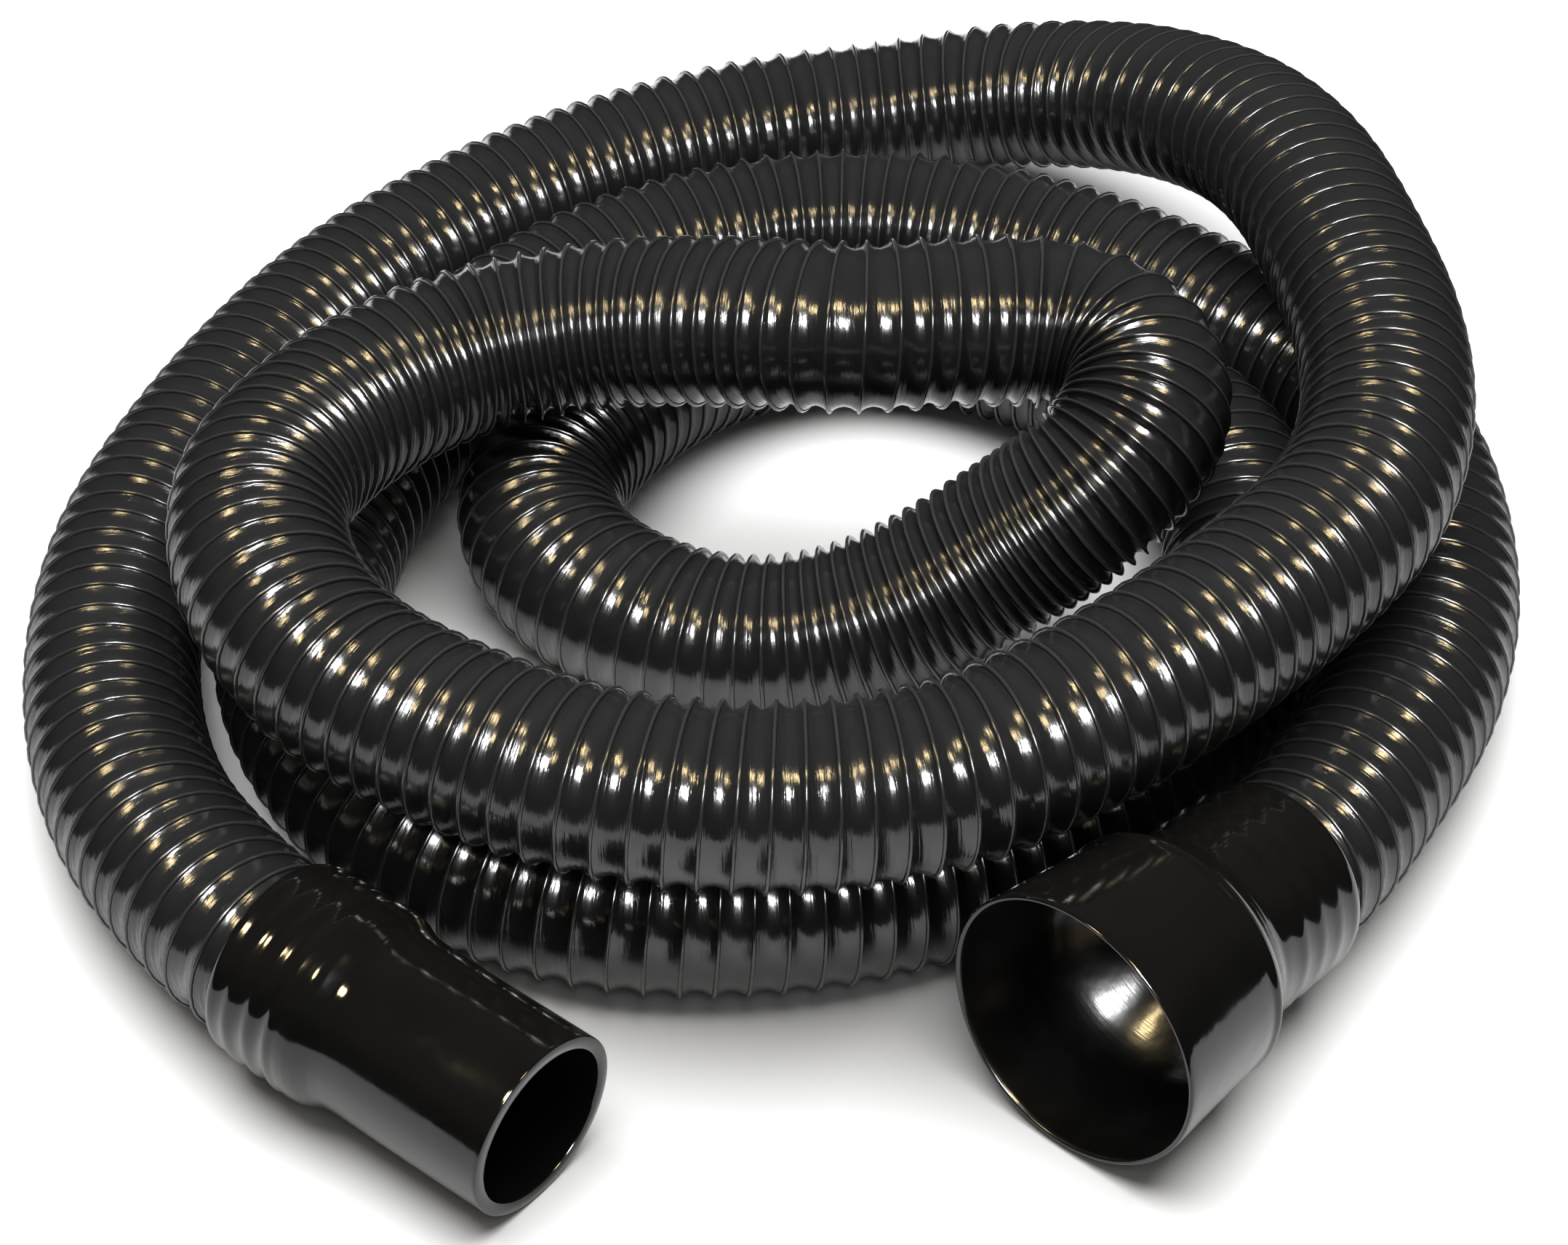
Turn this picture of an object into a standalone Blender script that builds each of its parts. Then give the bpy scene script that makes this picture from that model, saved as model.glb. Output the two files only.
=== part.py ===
"""Vacuum hose: one long wire-ribbed vinyl hose lying in loose loops, with a straight cuff
on one end and a wide bell cuff on the other. Metres, +Z up, floor at Z = 0."""

import math

import bpy
from mathutils import Vector

# Hose
HOSE_OD = 0.060
HOSE_WALL = 0.0018
HOSE_BEVEL_RESOLUTION = 4

# Straight cuff, measured along its axis from the mouth
STRAIGHT_MOUTH = Vector((-0.0719, -0.2831, 0.0310))
STRAIGHT_INWARD = Vector((-0.7899, 0.6119, 0.0430))
STRAIGHT_SEAT = 0.0720
STRAIGHT_TUBE_R = 0.0304
STRAIGHT_BORE_R = 0.0260

# Bell cuff, measured along its axis from the mouth
BELL_MOUTH = Vector((0.0853, -0.2604, 0.0469))
BELL_INWARD = Vector((0.6748, 0.7329, -0.0850))
BELL_SEAT = 0.0610
BELL_MOUTH_R = 0.0451

# Both cuffs
SOCKET_R = 0.03035
LIP_BORE_R = 0.0258
TURN_STEPS = 48

# Centreline of the hose between the cuffs, from the straight cuff to the bell cuff.
# The lower strands lie on the floor and the upper ones on the strands that they cross.
ROUTE = (
    (-0.204, -0.160, 0.0335), (-0.2225, -0.113, 0.0308), (-0.231, -0.060, 0.0305),
    (-0.229, -0.009, 0.0305), (-0.216, 0.041, 0.0305), (-0.197, 0.090, 0.0305),
    (-0.173, 0.136, 0.0305), (-0.140, 0.178, 0.0305), (-0.102, 0.213, 0.0305),
    (-0.058, 0.242, 0.0305), (-0.011, 0.263, 0.0305), (0.040, 0.274, 0.0315),
    (0.088, 0.273, 0.0400), (0.124, 0.256, 0.0520), (0.152, 0.224, 0.0680),
    (0.178, 0.182, 0.0820), (0.194, 0.135, 0.0910), (0.203, 0.083, 0.0950),
    (0.209, 0.028, 0.0970), (0.206, -0.020, 0.0970), (0.191, -0.066, 0.0960),
    (0.163, -0.105, 0.0960), (0.130, -0.141, 0.0965), (0.094, -0.172, 0.0965),
    (0.050, -0.197, 0.0940), (-0.001, -0.206, 0.0925), (-0.053, -0.200, 0.0925),
    (-0.100, -0.179, 0.0925), (-0.142, -0.148, 0.0940), (-0.167, -0.108, 0.0980),
    (-0.173, -0.066, 0.0980), (-0.159, -0.026, 0.0950), (-0.135, 0.005, 0.0930),
    (-0.103, 0.026, 0.0930), (-0.062, 0.030, 0.0990), (-0.020, 0.019, 0.1080),
    (0.020, 0.007, 0.1140), (0.057, 0.011, 0.1135), (0.090, 0.015, 0.1110),
    (0.109, 0.009, 0.1090), (0.121, -0.006, 0.1070), (0.123, -0.024, 0.1040),
    (0.116, -0.040, 0.0975), (0.101, -0.050, 0.0860), (0.076, -0.053, 0.0660),
    (0.047, -0.058, 0.0470),
    (0.015, -0.062, 0.0345), (-0.018, -0.061, 0.0305), (-0.050, -0.049, 0.0305),
    (-0.075, -0.026, 0.0305), (-0.088, 0.006, 0.0305), (-0.083, 0.039, 0.0305),
    (-0.062, 0.076, 0.0305), (-0.026, 0.110, 0.0305), (0.023, 0.127, 0.0305),
    (0.069, 0.119, 0.0305), (0.110, 0.096, 0.0305), (0.145, 0.062, 0.0305),
    (0.163, 0.020, 0.0305), (0.162, -0.034, 0.0305), (0.147, -0.080, 0.0305),
    (0.119, -0.118, 0.0305), (0.087, -0.152, 0.0305), (0.046, -0.175, 0.0305),
    (-0.002, -0.188, 0.0305), (-0.055, -0.187, 0.0305), (-0.103, -0.168, 0.0305),
    (-0.138, -0.135, 0.0305), (-0.161, -0.091, 0.0305), (-0.168, -0.043, 0.0305),
    (-0.160, 0.010, 0.0305), (-0.142, 0.061, 0.0305), (-0.115, 0.109, 0.0305),
    (-0.080, 0.150, 0.0305), (-0.036, 0.178, 0.0305), (0.012, 0.193, 0.0305),
    (0.063, 0.189, 0.0305), (0.117, 0.167, 0.0305), (0.162, 0.134, 0.0305),
    (0.203, 0.093, 0.0305), (0.225, 0.048, 0.0305), (0.230, -0.001, 0.0305),
    (0.225, -0.050, 0.0305), (0.211, -0.094, 0.0318), (0.193, -0.129, 0.0350),
)

# Turned outlines as (radius, distance from the mouth), outer side first
STRAIGHT_OUTER = (
    (0.0318, 0.1080), (0.0326, 0.1075), (0.0330, 0.1057), (0.0337, 0.1032),
    (0.0331, 0.1008), (0.0331, 0.0966), (0.0338, 0.0942), (0.0332, 0.0918),
    (0.0332, 0.0878), (0.0339, 0.0852), (0.0335, 0.0828), (0.0338, 0.0798),
    (0.0341, 0.0770),
    (0.0339, 0.0740), (0.0332, 0.0715), (0.0321, 0.0690), (0.0311, 0.0665),
    (0.0306, 0.0630), (STRAIGHT_TUBE_R, 0.0580), (STRAIGHT_TUBE_R, 0.0005),
    (0.0302, 0.0),
)
STRAIGHT_INNER = (
    (0.0262, 0.0), (STRAIGHT_BORE_R, 0.0006), (STRAIGHT_BORE_R, 0.0660),
    (LIP_BORE_R, 0.0670),
    (LIP_BORE_R, STRAIGHT_SEAT - 0.0003), (SOCKET_R, STRAIGHT_SEAT - 0.0003),
    (SOCKET_R, 0.1074), (0.0308, 0.1080),
)
BELL_OUTER = (
    (0.0322, 0.1045), (0.0331, 0.1039), (0.0336, 0.1020), (0.0339, 0.0960),
    (0.0341, 0.0800), (0.0343, 0.0680), (0.0347, 0.0630), (0.0358, 0.0597),
    (0.0374, 0.0570), (0.0393, 0.0546), (0.0409, 0.0524), (0.0417, 0.0506),
    (0.0419, 0.0496), (0.0425, 0.0491), (0.0427, 0.0483), (0.0425, 0.0475),
    (0.0421, 0.0468), (0.0424, 0.0420), (0.0430, 0.0320), (0.0437, 0.0210),
    (0.0445, 0.0100), (BELL_MOUTH_R, 0.0030), (BELL_MOUTH_R, 0.0008), (0.0448, 0.0),
)
BELL_INNER = (
    (0.0435, 0.0), (0.0432, 0.0008), (0.0427, 0.0100), (0.0419, 0.0210),
    (0.0410, 0.0310), (0.0404, 0.0360), (0.0396, 0.0395), (0.0384, 0.0425),
    (0.0366, 0.0455), (0.0344, 0.0484), (0.0320, 0.0513), (0.0296, 0.0541),
    (0.0274, 0.0566), (0.0262, 0.0579),
    (LIP_BORE_R, 0.0586), (LIP_BORE_R, BELL_SEAT - 0.0003),
    (SOCKET_R, BELL_SEAT - 0.0003), (SOCKET_R, 0.1039), (0.0308, 0.1045),
)


def clear_scene():
    for obj in list(bpy.data.objects):
        bpy.data.objects.remove(obj, do_unlink=True)


def make_collection(name):
    collection = bpy.data.collections.new(name)
    bpy.context.scene.collection.children.link(collection)
    return collection


def make_material(name, colour, roughness):
    material = bpy.data.materials.new(name)
    material.use_nodes = True
    shader = material.node_tree.nodes["Principled BSDF"]
    shader.inputs["Base Color"].default_value = (*colour, 1.0)
    shader.inputs["Roughness"].default_value = roughness
    return material


def axis_of(inward):
    return inward.normalized()


def centreline():
    """The hose's centreline, with a straight length inside each cuff."""
    first = axis_of(STRAIGHT_INWARD)
    last = axis_of(BELL_INWARD)
    points = [STRAIGHT_MOUTH + first * d for d in (STRAIGHT_SEAT, 0.090, 0.1085, 0.120)]
    points += [Vector(p) for p in ROUTE]
    points += [BELL_MOUTH + last * d for d in (0.118, 0.1050, 0.084, BELL_SEAT)]
    return points


def make_hose(collection, material):
    """The wall of the hose as a smooth tube whose outside is the crest of its ribs."""
    points = centreline()
    curve = bpy.data.curves.new("hose", "CURVE")
    curve.dimensions = "3D"
    curve.twist_mode = "MINIMUM"
    curve.bevel_depth = HOSE_OD / 2
    curve.bevel_resolution = HOSE_BEVEL_RESOLUTION
    curve.use_fill_caps = False
    spline = curve.splines.new("POLY")
    spline.points.add(len(points) - 1)
    for target, point in zip(spline.points, points):
        target.co = (*point, 1.0)
    hose = bpy.data.objects.new("hose", curve)
    collection.objects.link(hose)
    curve.materials.append(material)
    wall = hose.modifiers.new("Wall", "SOLIDIFY")
    wall.thickness = HOSE_WALL
    wall.offset = -1.0
    return hose


def make_turned(name, outer, inner, mouth, inward, collection, material):
    """A hollow turned piece: its outline runs down the outer side, then up the bore."""
    outline = [(r, 0.0, z) for r, z in (*outer, *inner)]
    edges = [(i, (i + 1) % len(outline)) for i in range(len(outline))]
    mesh = bpy.data.meshes.new(name)
    mesh.from_pydata(outline, edges, [])
    piece = bpy.data.objects.new(name, mesh)
    collection.objects.link(piece)
    mesh.materials.append(material)
    turn = piece.modifiers.new("Turn", "SCREW")
    turn.axis = "Z"
    turn.angle = math.tau
    turn.steps = TURN_STEPS
    turn.render_steps = TURN_STEPS
    turn.use_merge_vertices = True
    turn.merge_threshold = 0.00001
    piece.location = mouth
    piece.rotation_mode = "QUATERNION"
    piece.rotation_quaternion = axis_of(inward).to_track_quat("Z", "Y")
    return piece


def main():
    clear_scene()
    parts = make_collection("vacuum_hose")
    ribbed_vinyl = make_material("ribbed_vinyl", (0.022, 0.023, 0.025), 0.22)
    straight_vinyl = make_material("straight_cuff_vinyl", (0.006, 0.006, 0.006), 0.12)
    bell_vinyl = make_material("bell_cuff_vinyl", (0.006, 0.006, 0.006), 0.12)
    make_hose(parts, ribbed_vinyl)
    make_turned(
        "straight_cuff", STRAIGHT_OUTER, STRAIGHT_INNER,
        STRAIGHT_MOUTH, STRAIGHT_INWARD, parts, straight_vinyl,
    )
    make_turned(
        "bell_cuff", BELL_OUTER, BELL_INNER,
        BELL_MOUTH, BELL_INWARD, parts, bell_vinyl,
    )


main()
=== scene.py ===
"""Looks of the vacuum hose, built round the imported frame: the ribbed vinyl wall, the spring
rib wound along it, the straight cuff and the bell cuff. Metres, +Z up, floor at Z = 0."""

import math

import bpy
import numpy as np
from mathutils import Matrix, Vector


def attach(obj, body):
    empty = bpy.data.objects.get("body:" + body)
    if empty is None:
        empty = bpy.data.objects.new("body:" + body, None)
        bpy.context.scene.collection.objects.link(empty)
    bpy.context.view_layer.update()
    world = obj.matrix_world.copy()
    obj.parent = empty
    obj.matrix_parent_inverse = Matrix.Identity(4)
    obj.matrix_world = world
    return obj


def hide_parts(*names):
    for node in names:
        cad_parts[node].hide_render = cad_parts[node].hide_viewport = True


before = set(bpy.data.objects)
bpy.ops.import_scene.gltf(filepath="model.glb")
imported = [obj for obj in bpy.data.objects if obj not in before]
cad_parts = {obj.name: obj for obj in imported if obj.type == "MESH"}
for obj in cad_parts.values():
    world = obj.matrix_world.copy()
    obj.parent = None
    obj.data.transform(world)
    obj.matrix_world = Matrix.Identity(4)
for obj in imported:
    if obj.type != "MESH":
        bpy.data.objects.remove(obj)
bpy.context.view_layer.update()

# Camera
CAMERA_PLACE = (0.0, -0.993, 0.8334)
CAMERA_TILT = math.radians(49.544)
CAMERA_LENS = 81.9

# Hose
HOSE_R = 0.030
SIDES = 36
LINING_R = 0.0254
LINING_SIDES = SIDES // 2
LINING_STEP = 0.022
PATH_STEP = 0.001
PATH_SOFTNESS = 0.008

# The rib stands on the wall at each turn, and the wall sags between its turns. The bead's
# section is (share of its half width, share of its height below the crest). It starts and
# ends this many columns of the wall inside the winding.
RIB_ENDS_IN = 13
RIB_HALF_WIDTH = 0.00085
RIB_BURIED = 0.00012
RIB_FULL_WIDTH_PITCH = 0.0045
RIB_SECTION = ((-1.0, 1.0), (-0.55, 0.22), (0.0, 0.0), (0.55, 0.22), (1.0, 1.0))
WALL_STATIONS = (0.0, 0.08, 0.26, 0.5, 0.74, 0.92)
WALL_UNDER_RIB = 0.00035
WALL_CURVE = 1.9
SAG_MIN, SAG_MAX = 0.0022, 0.0042
SAG_TAUT_PITCH = 0.0132
SAG_PER_PITCH = 0.36
TIGHTEST_SHARE = 0.86
HELIX_HAND = -1

# Rib spacing along the hose as (distance from the straight cuff's seat, spacing)
RIB_SPACING = (
    (0.00, 0.0088), (0.06, 0.0094), (0.15, 0.0102), (0.30, 0.0100), (0.42, 0.0094),
    (0.62, 0.0096), (0.75, 0.0108), (0.90, 0.0113), (1.00, 0.0103), (1.10, 0.0093),
    (1.30, 0.0093), (1.48, 0.0091), (1.60, 0.0084), (1.74, 0.0081), (1.83, 0.0080),
    (1.88, 0.0088), (1.93, 0.0102), (1.955, 0.0108), (1.975, 0.0092), (1.99, 0.0068),
    (2.005, 0.0052), (2.02, 0.0044), (2.05, 0.0044), (2.065, 0.0052), (2.085, 0.0064),
    (2.12, 0.0072), (2.17, 0.0080), (2.25, 0.0086), (2.40, 0.0088), (2.70, 0.0094),
    (3.05, 0.0097),
    (3.40, 0.0092), (3.70, 0.0092), (3.86, 0.0106), (3.97, 0.0104), (4.04, 0.0088),
    (4.10, 0.0086),
)

# Slow drift of the spacing as (share, rate per metre, start)
SPACING_DRIFT = ((0.025, 41.0, 0.0), (0.02, 97.0, 1.0))

# Cuffs, measured along their axes from the mouth
STRAIGHT_MOUTH = Vector((-0.0719, -0.2831, 0.0310))
STRAIGHT_INWARD = Vector((-0.7899, 0.6119, 0.0430)).normalized()
STRAIGHT_SEAT = 0.0720
BELL_MOUTH = Vector((0.0853, -0.2604, 0.0469))
BELL_INWARD = Vector((0.6748, 0.7329, -0.0850)).normalized()
BELL_SEAT = 0.0610

# Where the hose's centreline runs along each cuff's axis, seat included
STRAIGHT_GUIDES = (STRAIGHT_SEAT, 0.090, 0.1085, 0.120)
BELL_GUIDES = (0.118, 0.1050, 0.084, BELL_SEAT)

# Centreline of the hose between the cuffs, from the straight cuff to the bell cuff
ROUTE = (
    (-0.204, -0.160, 0.0335), (-0.2225, -0.113, 0.0308), (-0.231, -0.060, 0.0305),
    (-0.229, -0.009, 0.0305), (-0.216, 0.041, 0.0305), (-0.197, 0.090, 0.0305),
    (-0.173, 0.136, 0.0305), (-0.140, 0.178, 0.0305), (-0.102, 0.213, 0.0305),
    (-0.058, 0.242, 0.0305), (-0.011, 0.263, 0.0305), (0.040, 0.274, 0.0315),
    (0.088, 0.273, 0.0400), (0.124, 0.256, 0.0520), (0.152, 0.224, 0.0680),
    (0.178, 0.182, 0.0820), (0.194, 0.135, 0.0910), (0.203, 0.083, 0.0950),
    (0.209, 0.028, 0.0970), (0.206, -0.020, 0.0970), (0.191, -0.066, 0.0960),
    (0.163, -0.105, 0.0960), (0.130, -0.141, 0.0965), (0.094, -0.172, 0.0965),
    (0.050, -0.197, 0.0940), (-0.001, -0.206, 0.0925), (-0.053, -0.200, 0.0925),
    (-0.100, -0.179, 0.0925), (-0.142, -0.148, 0.0940), (-0.167, -0.108, 0.0980),
    (-0.173, -0.066, 0.0980), (-0.159, -0.026, 0.0950), (-0.135, 0.005, 0.0930),
    (-0.103, 0.026, 0.0930), (-0.062, 0.030, 0.0990), (-0.020, 0.019, 0.1080),
    (0.020, 0.007, 0.1140), (0.057, 0.011, 0.1135), (0.090, 0.015, 0.1110),
    (0.109, 0.009, 0.1090), (0.121, -0.006, 0.1070), (0.123, -0.024, 0.1040),
    (0.116, -0.040, 0.0975), (0.101, -0.050, 0.0860), (0.076, -0.053, 0.0660),
    (0.047, -0.058, 0.0470),
    (0.015, -0.062, 0.0345), (-0.018, -0.061, 0.0305), (-0.050, -0.049, 0.0305),
    (-0.075, -0.026, 0.0305), (-0.088, 0.006, 0.0305), (-0.083, 0.039, 0.0305),
    (-0.062, 0.076, 0.0305), (-0.026, 0.110, 0.0305), (0.023, 0.127, 0.0305),
    (0.069, 0.119, 0.0305), (0.110, 0.096, 0.0305), (0.145, 0.062, 0.0305),
    (0.163, 0.020, 0.0305), (0.162, -0.034, 0.0305), (0.147, -0.080, 0.0305),
    (0.119, -0.118, 0.0305), (0.087, -0.152, 0.0305), (0.046, -0.175, 0.0305),
    (-0.002, -0.188, 0.0305), (-0.055, -0.187, 0.0305), (-0.103, -0.168, 0.0305),
    (-0.138, -0.135, 0.0305), (-0.161, -0.091, 0.0305), (-0.168, -0.043, 0.0305),
    (-0.160, 0.010, 0.0305), (-0.142, 0.061, 0.0305), (-0.115, 0.109, 0.0305),
    (-0.080, 0.150, 0.0305), (-0.036, 0.178, 0.0305), (0.012, 0.193, 0.0305),
    (0.063, 0.189, 0.0305), (0.117, 0.167, 0.0305), (0.162, 0.134, 0.0305),
    (0.203, 0.093, 0.0305), (0.225, 0.048, 0.0305), (0.230, -0.001, 0.0305),
    (0.225, -0.050, 0.0305), (0.211, -0.094, 0.0318), (0.193, -0.129, 0.0350),
)

# Cuff outlines as (distance from the mouth, radius), from the mouth to the hose
STRAIGHT_OUTER = (
    (0.0000, 0.0300), (0.0002, 0.0303), (0.0006, 0.0304), (0.0080, 0.0304),
    (0.0200, 0.0304), (0.0350, 0.0304), (0.0480, 0.0304), (0.0580, 0.0304),
    (0.0630, 0.0306), (0.0665, 0.0311), (0.0690, 0.0321), (0.0715, 0.0332),
    (0.0740, 0.0339), (0.0770, 0.0341), (0.0805, 0.0337), (0.0850, 0.0333),
    (0.0930, 0.0331), (0.1010, 0.0330), (0.1050, 0.0329), (0.1069, 0.0326),
    (0.1077, 0.0321), (0.1080, 0.0315),
)
STRAIGHT_INNER = (
    (0.1078, 0.0309), (0.1071, 0.03045), (0.1010, 0.03045), (0.0880, 0.03045),
    (0.0722, 0.03045), (0.0718, 0.0300), (0.0717, 0.0262), (0.0713, 0.0258),
    (0.0700, 0.0258), (0.0670, 0.0258), (0.0655, 0.0260), (0.0450, 0.0260),
    (0.0300, 0.0260), (0.0120, 0.0260), (0.0007, 0.0260), (0.0002, 0.0261),
    (0.0000, 0.0263),
)
BELL_OUTER = (
    (0.0000, 0.0445), (0.0002, 0.0449), (0.0008, 0.0451), (0.0030, 0.0451),
    (0.0060, 0.0449), (0.0100, 0.0446), (0.0210, 0.0438), (0.0320, 0.0430),
    (0.0420, 0.0424), (0.0460, 0.0421), (0.0469, 0.0423), (0.0475, 0.0426),
    (0.0483, 0.0428), (0.0490, 0.0427), (0.0495, 0.0423), (0.0500, 0.0419),
    (0.0508, 0.0415), (0.0520, 0.0409), (0.0536, 0.0399), (0.0554, 0.0385),
    (0.0574, 0.0369), (0.0596, 0.0355), (0.0622, 0.0346), (0.0660, 0.0342),
    (0.0760, 0.0341), (0.0860, 0.0340), (0.0960, 0.0338), (0.1010, 0.0336),
    (0.1034, 0.0332), (0.1042, 0.0326), (0.1045, 0.0318),
)
BELL_INNER = (
    (0.1043, 0.0309), (0.1036, 0.03045), (0.0900, 0.03045), (0.0760, 0.03045),
    (0.0612, 0.03045), (0.0608, 0.0300), (0.0607, 0.0262), (0.0603, 0.0258),
    (0.0592, 0.0258), (0.0584, 0.0260), (0.0576, 0.0266), (0.0566, 0.0276),
    (0.0541, 0.0297), (0.0513, 0.0321), (0.0484, 0.0345), (0.0455, 0.0367),
    (0.0425, 0.0385), (0.0395, 0.0397), (0.0360, 0.0405), (0.0310, 0.0411),
    (0.0210, 0.0419), (0.0100, 0.0427), (0.0020, 0.0432), (0.0006, 0.0434),
    (0.0001, 0.0439),
)
CUFF_SIDES = 144
OUTER_GAP, INNER_GAP = 0.0012, 0.004

# The hose's rib seen through each collar, as (first, last, spacing, height)
STRAIGHT_COLLAR = (0.0770, 0.1076, 0.0086, 0.0008)
BELL_COLLAR = (0.0640, 0.1040, 0.0092, 0.00035)
SOCKET_MOST_R = 0.0312

# Height of the wall's small folds against the distance from the middle between two turns
FOLD_STOPS = ((0.0, 0.25), (0.03, 0.55), (0.10, 0.85), (0.17, 0.70), (0.20, 0.62),
              (0.24, 0.86), (0.36, 1.0), (0.42, 0.70))

# Studio: a pale floor, and a dim room whose brightness goes from below (0) to overhead (1)
FLOOR_RADIUS = 0.60
ROOM_STOPS = ((0.0, 0.02), (0.50, 0.02), (0.60, 0.03), (0.72, 0.085), (0.86, 0.095),
              (0.94, 0.05))
ROOM_TINT = (1.0, 0.98, 0.95)
WHITE = (1.0, 1.0, 1.0)
GOLD = (1.0, 0.78, 0.42)


def even(points, step):
    """The polyline through these points, resampled at about this step."""
    points = np.asarray(points, float)
    runs = np.linalg.norm(np.diff(points, axis=0), axis=1)
    length = np.concatenate([[0.0], np.cumsum(runs)])
    wanted = np.linspace(0.0, length[-1], int(round(length[-1] / step)) + 1)
    return np.stack([np.interp(wanted, length, points[:, k]) for k in range(3)], 1)


def curve_through(points, per_span=40):
    """Centripetal Catmull-Rom curve through the points."""
    whole = np.vstack([2 * points[0] - points[1], points, 2 * points[-1] - points[-2]])
    curve = []
    for i in range(1, len(whole) - 2):
        a, b, c, d = whole[i - 1 : i + 3]
        t0 = 0.0
        t1 = t0 + math.sqrt(np.linalg.norm(b - a))
        t2 = t1 + math.sqrt(np.linalg.norm(c - b))
        t3 = t2 + math.sqrt(np.linalg.norm(d - c))
        for step in range(per_span):
            t = t1 + (t2 - t1) * step / per_span
            ab = (a * (t1 - t) + b * (t - t0)) / (t1 - t0)
            bc = (b * (t2 - t) + c * (t - t1)) / (t2 - t1)
            cd = (c * (t3 - t) + d * (t - t2)) / (t3 - t2)
            abc = (ab * (t2 - t) + bc * (t - t0)) / (t2 - t0)
            bcd = (bc * (t3 - t) + cd * (t - t1)) / (t3 - t1)
            curve.append((abc * (t2 - t) + bcd * (t - t1)) / (t2 - t1))
    curve.append(whole[-2])
    return np.array(curve)


def softened(points, step, width):
    """The points with their small wiggles averaged out; both ends run on straight."""
    reach = int(4 * width / step)
    weights = np.exp(-0.5 * (np.arange(-reach, reach + 1) * step / width) ** 2)
    weights /= weights.sum()
    before = points[0] + np.outer(np.arange(reach, 0, -1), points[0] - points[1])
    after = points[-1] + np.outer(np.arange(1, reach + 1), points[-1] - points[-2])
    padded = np.vstack([before, points, after])
    return np.stack([np.convolve(padded[:, k], weights, "valid") for k in range(3)], 1)


class HosePath:
    """The hose's centreline with a frame that doesn't twist, and how it bends."""

    def __init__(self):
        straight = [STRAIGHT_MOUTH + STRAIGHT_INWARD * d for d in STRAIGHT_GUIDES]
        bell = [BELL_MOUTH + BELL_INWARD * d for d in BELL_GUIDES]
        marks = [tuple(p) for p in straight] + list(ROUTE) + [tuple(p) for p in bell]
        line = even(curve_through(np.array(marks)), PATH_STEP)
        self.line = even(softened(line, PATH_STEP, PATH_SOFTNESS), PATH_STEP)
        runs = np.linalg.norm(np.diff(self.line, axis=0), axis=1)
        self.along = np.concatenate([[0.0], np.cumsum(runs)])
        self.length = self.along[-1]
        ahead = np.gradient(self.line, axis=0)
        self.ahead = ahead / np.linalg.norm(ahead, axis=1)[:, None]
        self.side = self.carried(np.array((0.0, 0.0, -1.0)))
        self.other = np.cross(self.ahead, self.side)
        turn = np.gradient(self.ahead, self.along, axis=0)
        turn = softened(turn, PATH_STEP, PATH_SOFTNESS)
        self.bend_side = (turn * self.side).sum(1)
        self.bend_other = (turn * self.other).sum(1)

    def carried(self, start):
        """A sideways direction carried along the line without twisting."""
        sides = np.empty_like(self.line)
        side = start - self.ahead[0] * (start @ self.ahead[0])
        for i, ahead in enumerate(self.ahead):
            side = side - ahead * (side @ ahead)
            side /= np.linalg.norm(side)
            sides[i] = side
        return sides

    def read(self, values, s):
        if values.ndim == 1:
            return np.interp(s, self.along, values)
        return np.stack([np.interp(s, self.along, values[:, k]) for k in range(3)], -1)

    def inward(self, s, angle):
        """How fast the hose bends towards this angle of its section, per metre."""
        return (self.read(self.bend_side, s) * np.cos(angle)
                + self.read(self.bend_other, s) * np.sin(angle))

    def place(self, s, angle, radius):
        """Points at this distance, angle and radius; a tight bend's inner side flattens."""
        bend = np.maximum(self.inward(s, angle), 1e-6)
        most = TIGHTEST_SHARE / bend
        radius = radius * most / (radius**6 + most**6) ** (1 / 6)
        way = (self.read(self.side, s) * np.cos(angle)[:, None]
               + self.read(self.other, s) * np.sin(angle)[:, None])
        return self.read(self.line, s) + way * radius[:, None]


class Winding:
    """Where each turn of the rib lies along the hose."""

    def __init__(self, path):
        places = [place for place, _ in RIB_SPACING]
        spacings = [spacing for _, spacing in RIB_SPACING]
        self.path = path
        self.spacing = np.interp(path.along, places, spacings)
        self.spacing *= 1 + sum(size * np.sin(path.along * rate + start)
                                for size, rate, start in SPACING_DRIFT)
        steps = np.diff(path.along) * 0.5 * (1 / self.spacing[1:] + 1 / self.spacing[:-1])
        self.turn = np.concatenate([[0.0], np.cumsum(steps)])
        self.turns = self.turn[-1]

    def at(self, turn):
        """Distance along the hose of this turn of the rib."""
        return np.interp(turn, self.turn, self.path.along)

    def local_spacing(self, s, angle):
        """Rib spacing on this side of the hose: wider outside a bend, tighter inside."""
        share = 1 - HOSE_R * self.path.inward(s, angle)
        return np.interp(s, self.path.along, self.spacing) * np.clip(share, 0.1, 2.0)

    def dip(self, s, angle, share):
        """How far below the crest the wall lies at this share of the way to the next turn."""
        slack = np.clip(SAG_TAUT_PITCH - self.local_spacing(s, angle), 0.0, None)
        sag = SAG_MAX * np.tanh((SAG_MIN + SAG_PER_PITCH * slack) / SAG_MAX)
        sag *= 1 + 0.12 * wobble(s, angle, 0.7)
        bow = 1 - np.abs(2 * share - 1) ** WALL_CURVE
        return WALL_UNDER_RIB + (sag - WALL_UNDER_RIB) * bow


def wobble(s, angle, seed):
    """A smooth irregular number from about -1 to 1 over the hose's surface."""
    a = np.sin(s * 63.0 + 2.0 * angle + seed)
    b = np.sin(s * 151.0 - angle + 2.3 * seed)
    c = np.sin(s * 29.0 + 3.0 * angle + 5.1 * seed)
    return (a + b + c) / 3


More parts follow.
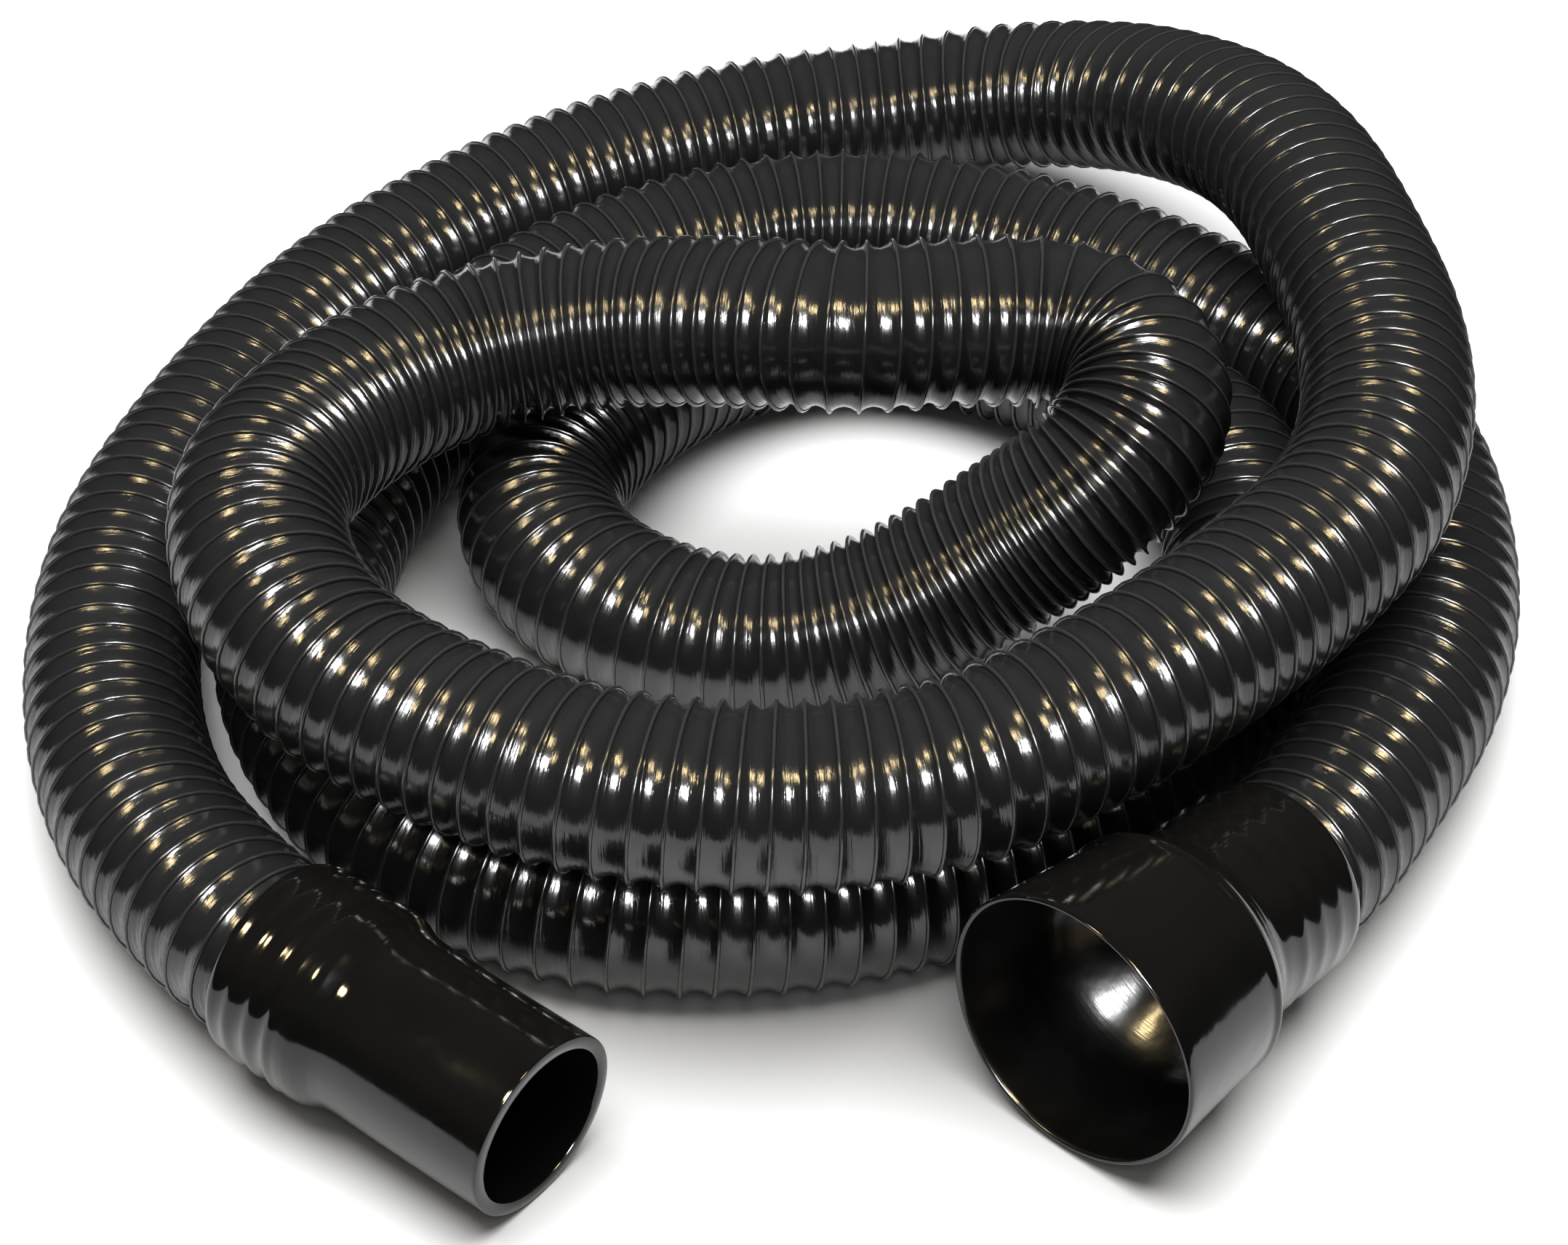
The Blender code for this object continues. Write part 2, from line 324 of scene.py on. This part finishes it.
def make_camera():
    data = bpy.data.cameras.new("camera")
    data.lens = CAMERA_LENS
    data.sensor_width = 36.0
    data.sensor_fit = "HORIZONTAL"
    data.clip_start = 0.01
    camera = bpy.data.objects.new("camera", data)
    camera.location = CAMERA_PLACE
    camera.rotation_euler = (CAMERA_TILT, 0.0, 0.0)
    bpy.context.scene.collection.objects.link(camera)
    bpy.context.scene.camera = camera


def make_object(name, points, faces, corners=None):
    """A smooth mesh object. corners holds a (u, v) for each face corner."""
    mesh = bpy.data.meshes.new(name)
    mesh.from_pydata([tuple(p) for p in points], [], faces)
    if corners is not None:
        layer = mesh.uv_layers.new(name="winding")
        layer.data.foreach_set("uv", np.asarray(corners, np.float32).ravel())
    mesh.polygons.foreach_set("use_smooth", [True] * len(mesh.polygons))
    mesh.update()
    piece = bpy.data.objects.new(name, mesh)
    bpy.context.scene.collection.objects.link(piece)
    return piece


def wound(items):
    """The items in the order that makes a face look outward for this hand of the helix."""
    return items if HELIX_HAND > 0 else items[::-1]


def wound_faces(columns, stations, start, end, ends):
    """Faces of a skin wound along the helix. Points before start or after end of the winding
    fold onto the two end rings. Returns each point's turn, the faces and winding corners."""
    turn = np.arange(columns)[:, None] / SIDES + np.array(stations)[None, :] - 1.0
    ids = np.arange(columns * len(stations)).reshape(columns, len(stations))
    side = (np.arange(columns) % SIDES)[:, None] + np.zeros(len(stations), int)[None, :]
    ids = np.where(turn < start, ends[0] + side, ids)
    ids = np.where(turn > end, ends[1] + side, ids)
    count = len(stations)
    faces, corners = [], []
    for m in range(columns - 1 - SIDES):
        for p in range(count):
            if p < count - 1:
                four = ((m, p), (m, p + 1), (m + 1, p + 1), (m + 1, p))
            else:
                four = ((m, p), (m + SIDES, 0), (m + 1 + SIDES, 0), (m + 1, p))
            place = (m, m, m + 1, m + 1)
            kept, uv = [], []
            for (column, station), home in zip(four, place):
                point = int(ids[column, station])
                if point not in kept:
                    kept.append(point)
                    uv.append((turn[column, station], home / SIDES))
            if len(kept) > 2:
                faces.append(wound(kept))
                corners += wound(uv)
    return turn, faces, corners


def make_wall(path, winding):
    """The vinyl wall: sags between turns of the rib, with a plain lining inside."""
    columns = int((math.ceil(winding.turns) + 3) * SIDES)
    count = len(WALL_STATIONS)
    total = columns * count
    turn, faces, corners = wound_faces(
        columns, WALL_STATIONS, 0.0, winding.turns, (total, total + SIDES))
    angle = HELIX_HAND * 2 * math.pi * (np.arange(columns) % SIDES) / SIDES
    angles = np.repeat(angle, count)
    s = winding.at(np.clip(turn.ravel(), 0.0, winding.turns))
    dip = winding.dip(s, angles, np.tile(np.array(WALL_STATIONS), columns))
    points = [path.place(s, angles, HOSE_R - dip)]
    ring = HELIX_HAND * 2 * math.pi * np.arange(SIDES) / SIDES
    for end in (0.0, path.length):
        points.append(path.place(np.full(SIDES, end), ring, np.full(SIDES, HOSE_R - 0.001)))
    points = np.vstack(points)
    lining, lining_faces = make_lining(path, len(points), total)
    points = np.vstack([points, lining])
    faces += lining_faces
    corners += [(0.0, 0.0)] * sum(len(face) for face in lining_faces)
    points, faces = used_only(points, faces)
    return make_object("hose_wall", points, faces, corners)


def make_lining(path, first, rings_at):
    """The inside of the wall as a plain tube, joined to the outside's two end rings."""
    rows = int(path.length / LINING_STEP) + 1
    places = np.linspace(0.0, path.length, rows)
    angle = HELIX_HAND * 2 * math.pi * np.arange(LINING_SIDES) / LINING_SIDES
    s = np.repeat(places, LINING_SIDES)
    angles = np.tile(angle, rows)
    points = path.place(s, angles, np.full(len(s), LINING_R))
    faces = []
    for row in range(rows - 1):
        for j in range(LINING_SIDES):
            k = (j + 1) % LINING_SIDES
            a, b = first + row * LINING_SIDES, first + (row + 1) * LINING_SIDES
            faces.append([a + j, a + k, b + k, b + j])
    for ring, row, back in ((rings_at, 0, False), (rings_at + SIDES, rows - 1, True)):
        inner = first + row * LINING_SIDES
        for j in range(LINING_SIDES):
            k = (j + 1) % LINING_SIDES
            o, m, n = 2 * j, 2 * j + 1, (2 * j + 2) % SIDES
            fan = [[ring + o, ring + m, inner + j], [ring + m, inner + k, inner + j],
                   [ring + m, ring + n, inner + k]]
            faces += [f[::-1] for f in fan] if back else fan
    return points, [wound(face) for face in faces]


def used_only(points, faces):
    """Drops the points that no face uses."""
    flat = np.array([i for face in faces for i in face])
    used, index = np.unique(flat, return_inverse=True)
    at, made = 0, []
    for face in faces:
        made.append(index[at : at + len(face)].tolist())
        at += len(face)
    return points[used], made


def make_rib(path, winding):
    """The spring rib: the wire in its vinyl, one closed bead along the whole helix."""
    first, last = RIB_ENDS_IN / SIDES, winding.turns - RIB_ENDS_IN / SIDES
    count = int((last - first) * SIDES)
    turn = first + np.arange(count + 1) / SIDES
    angle = HELIX_HAND * 2 * math.pi * turn
    s = winding.at(turn)
    n = len(RIB_SECTION)
    spacing = winding.local_spacing(s, angle)
    half = RIB_HALF_WIDTH * np.clip(spacing / RIB_FULL_WIDTH_PITCH, 0.25, 1.0)
    foot = winding.dip(s, angle, half / spacing) + RIB_BURIED
    points = np.empty((count + 1, n, 3))
    for k, (across, drop) in enumerate(RIB_SECTION):
        shift = across * half / np.clip(1 - HOSE_R * path.inward(s, angle), 0.3, 2.0)
        at = np.clip(s + shift, 0.0, path.length)
        points[:, k] = path.place(at, angle, HOSE_R - drop * foot)
    faces, corners = [], []
    for m in range(count):
        for k in range(n):
            j = (k + 1) % n
            a, b = m * n, (m + 1) * n
            face = [a + k, a + j, b + j, b + k]
            uv = [(k, turn[m]), (k + 1, turn[m]), (k + 1, turn[m + 1]), (k, turn[m + 1])]
            faces.append(wound(face))
            corners += wound(uv)
    for cap in (list(range(n))[::-1], list(range(count * n, count * n + n))):
        faces.append(wound(cap))
        corners += [(0.0, 0.0)] * n
    return make_object("spring_rib", points.reshape(-1, 3), faces, corners)


def turned_points(outline, mouth, inward, reshape):
    """Rings of a turned outline; reshape(distance, radius, angles) gives each ring's radii."""
    across = inward.cross(Vector((0.0, 0.0, 1.0))).normalized()
    up = across.cross(inward).normalized()
    angles = 2 * math.pi * np.arange(CUFF_SIDES) / CUFF_SIDES
    way = np.outer(np.cos(angles), across) + np.outer(np.sin(angles), up)
    rings = []
    for distance, radius in outline:
        radii = reshape(distance, radius, angles)
        centre = np.array(mouth + inward * distance)
        rings.append(centre + way * radii[:, None])
    return np.vstack(rings)


def denser(outline, most):
    """The outline with points added where two of them are further apart than this."""
    made = [outline[0]]
    for (d0, r0), (d1, r1) in zip(outline, outline[1:]):
        parts = max(1, math.ceil(math.hypot(d1 - d0, r1 - r0) / most))
        for k in range(1, parts + 1):
            made.append((d0 + (d1 - d0) * k / parts, r0 + (r1 - r0) * k / parts))
    return made


def make_cuff(name, outer, inner, mouth, inward, reshape):
    outline = denser(outer, OUTER_GAP) + denser(inner, INNER_GAP)
    points = turned_points(outline, mouth, inward, reshape)
    rows = len(outline)
    faces = []
    for i in range(rows):
        a, b = i * CUFF_SIDES, (i + 1) % rows * CUFF_SIDES
        for j in range(CUFF_SIDES):
            k = (j + 1) % CUFF_SIDES
            faces.append([a + j, b + j, b + k, a + k])
    return make_object(name, points, faces)


def collar_ribs(distance, angles, collar):
    """How far the hose's rib pushes a cuff's collar out, as a soft spiral swelling."""
    first, last, spacing, height = collar
    if not first < distance < last:
        return 0.0 * angles
    fade = min(1.0, (distance - first) / 0.004, (last - distance) / 0.003)
    turn = (distance - first) / spacing + HELIX_HAND * angles / (2 * math.pi)
    wave = 0.5 + 0.5 * np.cos(2 * math.pi * turn)
    return height * fade * wave**1.6


def straight_shape(distance, radius, angles):
    """Radii of the straight cuff's ring: its collar's ribs and a slightly uneven tube."""
    swell = collar_ribs(distance, angles, STRAIGHT_COLLAR)
    if radius < SOCKET_MOST_R and distance > 0.0670:
        swell = 0.0 * angles
    uneven = 0.00010 * np.sin(2 * angles + 0.6) + 0.00005 * np.sin(5 * angles + 70 * distance)
    return radius + swell + uneven


def bell_shape(distance, radius, angles):
    """Radii of the bell cuff's ring: its collar's ribs and a mouth pressed out of round."""
    swell = collar_ribs(distance, angles, BELL_COLLAR)
    if radius < SOCKET_MOST_R and distance > 0.0560:
        swell = 0.0 * angles
    open_share = max(0.0, 1 - distance / 0.045)
    egg = 0.0009 * open_share * np.cos(2 * angles + 1.1)
    egg = egg + 0.0005 * open_share * np.cos(3 * angles - 0.4)
    uneven = 0.00010 * np.sin(3 * angles + 40 * distance)
    return radius + swell + egg + uneven


def math_node(tree, operation, a, b=None):
    made = tree.nodes.new("ShaderNodeMath")
    made.operation = operation
    for socket, value in zip(made.inputs, (a, b)):
        if value is None:
            continue
        if isinstance(value, bpy.types.NodeSocket):
            tree.links.new(value, socket)
        else:
            socket.default_value = value
    return made.outputs[0]


def noise(tree, vector, scale, detail=3.0, roughness=0.5):
    made = tree.nodes.new("ShaderNodeTexNoise")
    made.inputs["Scale"].default_value = scale
    made.inputs["Detail"].default_value = detail
    made.inputs["Roughness"].default_value = roughness
    tree.links.new(vector, made.inputs["Vector"])
    return made.outputs["Fac"]


def bump(tree, height, distance, strength, below=None):
    made = tree.nodes.new("ShaderNodeBump")
    made.inputs["Distance"].default_value = distance
    made.inputs["Strength"].default_value = strength
    tree.links.new(height, made.inputs["Height"])
    if below is not None:
        tree.links.new(below, made.inputs["Normal"])
    return made.outputs["Normal"]


def ranged(tree, value, low, high, to_low, to_high):
    made = tree.nodes.new("ShaderNodeMapRange")
    tree.links.new(value, made.inputs["Value"])
    made.inputs["From Min"].default_value = low
    made.inputs["From Max"].default_value = high
    made.inputs["To Min"].default_value = to_low
    made.inputs["To Max"].default_value = to_high
    return made.outputs["Result"]


def tinted(tree, fac, dark, light):
    made = tree.nodes.new("ShaderNodeMix")
    made.data_type = "RGBA"
    tree.links.new(fac, made.inputs["Factor"])
    made.inputs["A"].default_value = (*dark, 1.0)
    made.inputs["B"].default_value = (*light, 1.0)
    return made.outputs["Result"]


def ramp(tree, fac, stops, tint=(1.0, 1.0, 1.0)):
    """A colour ramp through (position, level) stops, each level times the tint."""
    made = tree.nodes.new("ShaderNodeValToRGB")
    elements = made.color_ramp.elements
    while len(elements) < len(stops):
        elements.new(0.5)
    for element, (position, level) in zip(elements, stops):
        element.position = position
        element.color = (*(level * part for part in tint), 1.0)
    tree.links.new(fac, made.inputs["Fac"])
    return made.outputs["Color"]


def new_material(name):
    material = bpy.data.materials.new(name)
    material.use_nodes = True
    return material, material.node_tree, material.node_tree.nodes["Principled BSDF"]


def wall_material():
    """Charcoal plasticised vinyl: creases along the helix, drawn streaks and a soft haze."""
    material, tree, shader = new_material("ribbed_vinyl")
    winding = tree.nodes.new("ShaderNodeUVMap")
    winding.uv_map = "winding"
    split = tree.nodes.new("ShaderNodeSeparateXYZ")
    tree.links.new(winding.outputs["UV"], split.inputs["Vector"])
    turn, round_way = split.outputs["X"], split.outputs["Y"]
    angle = math_node(tree, "MULTIPLY", round_way, 2 * math.pi)
    around = tree.nodes.new("ShaderNodeCombineXYZ")
    tree.links.new(math_node(tree, "MULTIPLY", turn, 5.0), around.inputs["X"])
    cosine = math_node(tree, "COSINE", angle)
    sine = math_node(tree, "SINE", angle)
    tree.links.new(math_node(tree, "MULTIPLY", cosine, 1.3), around.inputs["Y"])
    tree.links.new(math_node(tree, "MULTIPLY", sine, 1.3), around.inputs["Z"])
    streaks = noise(tree, around.outputs["Vector"], 2.2, 4.0, 0.6)
    place = tree.nodes.new("ShaderNodeTexCoord").outputs["Object"]
    ripple = noise(tree, place, 95.0, 2.0, 0.45)
    haze = noise(tree, place, 34.0, 3.0, 0.5)
    grain = noise(tree, place, 1900.0, 2.0, 0.5)
    share = math_node(tree, "FRACT", turn)
    off_middle = math_node(tree, "ABSOLUTE", math_node(tree, "SUBTRACT", share, 0.5))
    fold = ramp(tree, off_middle, FOLD_STOPS)
    where = noise(tree, around.outputs["Vector"], 0.45, 2.0, 0.5)
    crease = math_node(tree, "MULTIPLY", fold,
                       ranged(tree, where, 0.35, 0.65, 0.2, 1.0))
    normal = bump(tree, ripple, 0.0006, 0.25)
    normal = bump(tree, streaks, 0.00040, 0.42, normal)
    normal = bump(tree, crease, 0.00030, 0.7, normal)
    normal = bump(tree, grain, 0.00002, 0.25, normal)
    tree.links.new(normal, shader.inputs["Normal"])
    colour = tinted(tree, haze, (0.0098, 0.0100, 0.0104), (0.0150, 0.0152, 0.0158))
    tree.links.new(colour, shader.inputs["Base Color"])
    tree.links.new(ranged(tree, haze, 0.3, 0.7, 0.13, 0.20), shader.inputs["Roughness"])
    shader.inputs["IOR"].default_value = 1.5
    return material


def rib_material():
    """The same vinyl drawn tight over the wire: smoother, and coloured lighter than the wall
    as painted sheen on its crests.
    """
    material, tree, shader = new_material("rib_vinyl")
    place = tree.nodes.new("ShaderNodeTexCoord").outputs["Object"]
    ripple = noise(tree, place, 160.0, 2.0, 0.5)
    painted_sheen_noise = noise(tree, place, 55.0, 4.0, 0.6)
    normal = bump(tree, ripple, 0.0003, 0.3)
    tree.links.new(normal, shader.inputs["Normal"])
    # The rib's colour is set lighter than the wall's: painted sheen on the crests, varied at
    # random by the noise.
    colour = tinted(tree, painted_sheen_noise, (0.0190, 0.0190, 0.0195), (0.0300, 0.0300, 0.0305))
    tree.links.new(colour, shader.inputs["Base Color"])
    tree.links.new(ranged(tree, painted_sheen_noise, 0.3, 0.7, 0.12, 0.20), shader.inputs["Roughness"])
    shader.inputs["IOR"].default_value = 1.5
    return material


def cuff_material(name, wave):
    """Near-black soft moulded vinyl: mirror gloss, slow waves, faint flow lines and specks."""
    material, tree, shader = new_material(name)
    place = tree.nodes.new("ShaderNodeTexCoord").outputs["Object"]
    slow = noise(tree, place, 26.0, 1.5, 0.4)
    quick = noise(tree, place, 120.0, 2.0, 0.45)
    pores = noise(tree, place, 1500.0, 2.0, 0.5)
    smear = noise(tree, place, 48.0, 4.0, 0.6)
    normal = bump(tree, slow, 0.0016, wave)
    normal = bump(tree, quick, 0.00025, wave, normal)
    normal = bump(tree, pores, 0.00001, 0.25, normal)
    tree.links.new(normal, shader.inputs["Normal"])
    colour = tinted(tree, smear, (0.0030, 0.0028, 0.0026), (0.0052, 0.0048, 0.0045))
    tree.links.new(colour, shader.inputs["Base Color"])
    tree.links.new(ranged(tree, smear, 0.35, 0.7, 0.07, 0.15), shader.inputs["Roughness"])
    shader.inputs["IOR"].default_value = 1.42
    return material


def bore_material():
    """The bell's unpolished inside: a satin surface with fine lines turned round the axis,
    coloured darker than the outside as painted shade in the bore.
    """
    material, tree, shader = new_material("bell_bore_vinyl")
    place = tree.nodes.new("ShaderNodeTexCoord").outputs["Object"]
    depth = tree.nodes.new("ShaderNodeVectorMath")
    depth.operation = "DOT_PRODUCT"
    depth.inputs[1].default_value = BELL_INWARD
    tree.links.new(place, depth.inputs[0])
    along = tree.nodes.new("ShaderNodeCombineXYZ")
    tree.links.new(depth.outputs["Value"], along.inputs["X"])
    lines = noise(tree, along.outputs["Vector"], 900.0, 2.0, 0.6)
    smear = noise(tree, place, 70.0, 3.0, 0.55)
    normal = bump(tree, lines, 0.00015, 0.5)
    normal = bump(tree, smear, 0.00080, 0.3, normal)
    tree.links.new(normal, shader.inputs["Normal"])
    # The bore's colour is set darker than the cuff's outside: painted shade inside the bell.
    colour = tinted(tree, smear, (0.0020, 0.0019, 0.0018), (0.0034, 0.0032, 0.0030))
    tree.links.new(colour, shader.inputs["Base Color"])
    tree.links.new(ranged(tree, smear, 0.35, 0.7, 0.20, 0.27), shader.inputs["Roughness"])
    shader.inputs["IOR"].default_value = 1.5
    return material


def line_bore(piece, outer, material):
    """Gives the faces past the outside profile the bore's own surface, with its painted shade.
    """
    piece.data.materials.append(material)
    first = len(denser(outer, OUTER_GAP)) * CUFF_SIDES
    index = np.zeros(len(piece.data.polygons), np.int32)
    index[first:] = 1
    piece.data.polygons.foreach_set("material_index", index)


def floor_material():
    material, tree, shader = new_material("floor")
    place = tree.nodes.new("ShaderNodeTexCoord").outputs["Object"]
    tone = noise(tree, place, 3.0, 2.0, 0.5)
    tree.links.new(tinted(tree, tone, (0.80, 0.80, 0.80), (0.83, 0.83, 0.83)),
                   shader.inputs["Base Color"])
    shader.inputs["Roughness"].default_value = 0.75
    return material


def make_floor():
    bpy.ops.mesh.primitive_circle_add(vertices=128, radius=FLOOR_RADIUS, fill_type="NGON")
    floor = bpy.context.object
    floor.name = "floor"
    floor.data.materials.append(floor_material())


def make_light(name, place, target, size, watts, colour, glossy=True, diffuse=True):
    data = bpy.data.lights.new(name, "AREA")
    data.shape = "DISK"
    data.size = size
    data.energy = watts
    data.color = colour
    light = bpy.data.objects.new(name, data)
    light.location = place
    way = Vector(target) - Vector(place)
    light.rotation_mode = "QUATERNION"
    light.rotation_quaternion = way.to_track_quat("-Z", "Y")
    light.visible_glossy = glossy
    light.visible_diffuse = diffuse
    light.visible_camera = False
    bpy.context.scene.collection.objects.link(light)


def make_world():
    """A dim room for reflections, and the floor's pale tone where the camera sees past it."""
    world = bpy.data.worlds.new("studio")
    world.use_nodes = True
    bpy.context.scene.world = world
    tree = world.node_tree
    back = tree.nodes["Background"]
    way = tree.nodes.new("ShaderNodeTexCoord").outputs["Generated"]
    split = tree.nodes.new("ShaderNodeSeparateXYZ")
    tree.links.new(way, split.inputs["Vector"])
    height = math_node(tree, "MULTIPLY_ADD", split.outputs["Z"], 0.5)
    height.node.inputs[2].default_value = 0.5
    room = ramp(tree, height, ROOM_STOPS, ROOM_TINT)
    seen = tree.nodes.new("ShaderNodeLightPath").outputs["Is Camera Ray"]
    choose = tree.nodes.new("ShaderNodeMix")
    choose.data_type = "RGBA"
    tree.links.new(seen, choose.inputs["Factor"])
    tree.links.new(room, choose.inputs["A"])
    choose.inputs["B"].default_value = (1.0, 1.0, 1.0, 1.0)
    tree.links.new(choose.outputs["Result"], back.inputs["Color"])


def make_lights():
    """A soft overhead light, one white lamp by the camera and a warm one on each side."""
    pile = (0.0, 0.0, 0.04)
    make_light("overhead", (0.0, 0.2, 2.6), pile, 3.2, 190.0, WHITE, glossy=False)
    make_light("flash", (0.07, -1.02, 0.97), pile, 0.30, 44.0, WHITE, diffuse=False)
    make_light("warm_lamp_left", (-0.66, -0.60, 1.26), pile, 0.25, 13.0, GOLD, diffuse=False)
    make_light("warm_lamp_right", (0.42, -0.61, 1.26), pile, 0.25, 12.0, GOLD, diffuse=False)


def set_look():
    bpy.context.scene.view_settings.view_transform = "Standard"


def main():
    make_camera()
    path = HosePath()
    winding = Winding(path)
    wall = make_wall(path, winding)
    rib = make_rib(path, winding)
    straight = make_cuff("straight_cuff_skin", STRAIGHT_OUTER, STRAIGHT_INNER,
                         STRAIGHT_MOUTH, STRAIGHT_INWARD, straight_shape)
    bell = make_cuff("bell_cuff_skin", BELL_OUTER, BELL_INNER,
                     BELL_MOUTH, BELL_INWARD, bell_shape)
    wall.data.materials.append(wall_material())
    rib.data.materials.append(rib_material())
    straight.data.materials.append(cuff_material("straight_cuff_vinyl", 0.35))
    bell.data.materials.append(cuff_material("bell_cuff_vinyl", 0.45))
    line_bore(bell, BELL_OUTER, bore_material())
    for piece, body, slot in ((wall, "hose", "ribbed_vinyl"), (rib, "hose", "ribbed_vinyl"),
                              (straight, "straight_cuff", "straight_cuff_vinyl"),
                              (bell, "bell_cuff", "bell_cuff_vinyl")):
        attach(piece, body)
    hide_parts("hose")
    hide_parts("straight_cuff")
    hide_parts("bell_cuff")
    make_floor()
    make_lights()
    make_world()
    set_look()


main()
